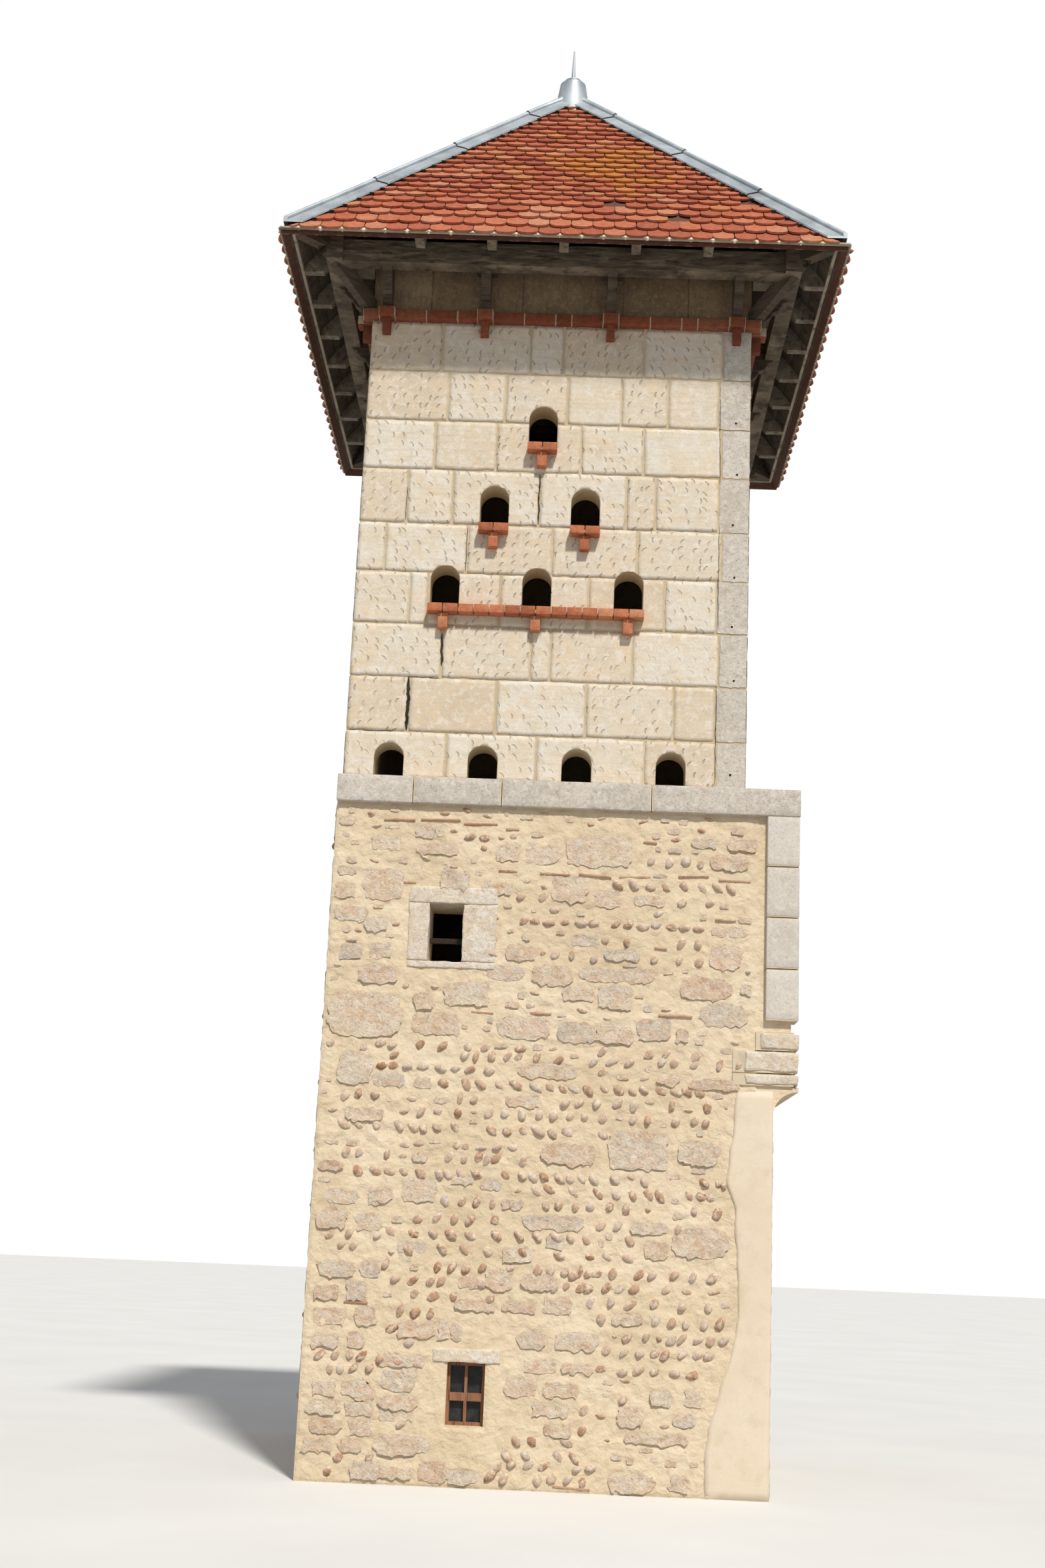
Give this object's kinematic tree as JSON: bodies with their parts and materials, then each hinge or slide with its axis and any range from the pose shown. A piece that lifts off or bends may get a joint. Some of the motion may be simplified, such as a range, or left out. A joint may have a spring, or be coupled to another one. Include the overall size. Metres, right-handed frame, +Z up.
{
  "type": "stone dovecote tower",
  "caption": "Two-storey stone dovecote tower with arched pigeon holes, brick perches, a string course, timber-braced eaves and a hipped tile roof with zinc finials.",
  "frame": {"origin": "on the ground, under the middle of the upper storey and of the roof", "axes": "+Z up; the front with the pigeon holes faces -Y; the party wall faces -X"},
  "size_m": [4.244, 4.654, 12.0014],
  "materials": {
    "rubble": "matte",
    "squared_stone": "matte",
    "dressed_stone": "matte",
    "brick": "matte",
    "roof_tile": "matte",
    "zinc": "matte",
    "timber": "matte",
    "painted_wood": "satin",
    "glass": "gloss"
  },
  "bodies": {
    "root": {"back_corner_foot_stones": "dressed_stone", "back_corner_quoins": "dressed_stone", "back_finial": "zinc", "back_frieze_wall": "squared_stone", "back_hip_caps": "zinc", "back_lower_wall": "rubble", "back_roof_slope": "roof_tile", "back_string_course": "dressed_stone", "back_upper_wall": "squared_stone", "brick_corbels": "brick", "brick_course": "brick", "corner_braces": "timber", "eave_braces": "timber", "eave_fascia": "timber", "eave_purlins": "timber", "end_rafters": "timber", "front_corner_foot_stones": "dressed_stone", "front_corner_quoins": "dressed_stone", "front_finial": "zinc", "front_frieze_wall": "squared_stone", "front_hip_caps": "zinc", "front_lower_wall": "rubble", "front_roof_slope": "roof_tile", "front_string_course": "dressed_stone", "front_upper_wall": "squared_stone", "hip_rafters": "timber", "left_party_wall": "rubble", "left_roof_slope": "roof_tile", "left_upper_wall": "squared_stone", "loft_floor": "timber", "loft_joists": "timber", "long_perch": "brick", "low_window_frame": "painted_wood", "low_window_lintel": "dressed_stone", "low_window_pane": "glass", "middle_perches": "brick", "perch_corbels": "brick", "ridge_cap": "zinc", "right_lower_wall": "rubble", "right_roof_slope": "roof_tile", "right_string_course": "dressed_stone", "right_upper_wall": "squared_stone", "side_frieze_walls": "squared_stone", "side_rafters": "timber", "slit_window_bar": "timber", "slit_window_stones": "dressed_stone", "soffit_boards": "timber", "tie_beams": "timber", "top_perch": "brick"}
  },
  "joints": []
}
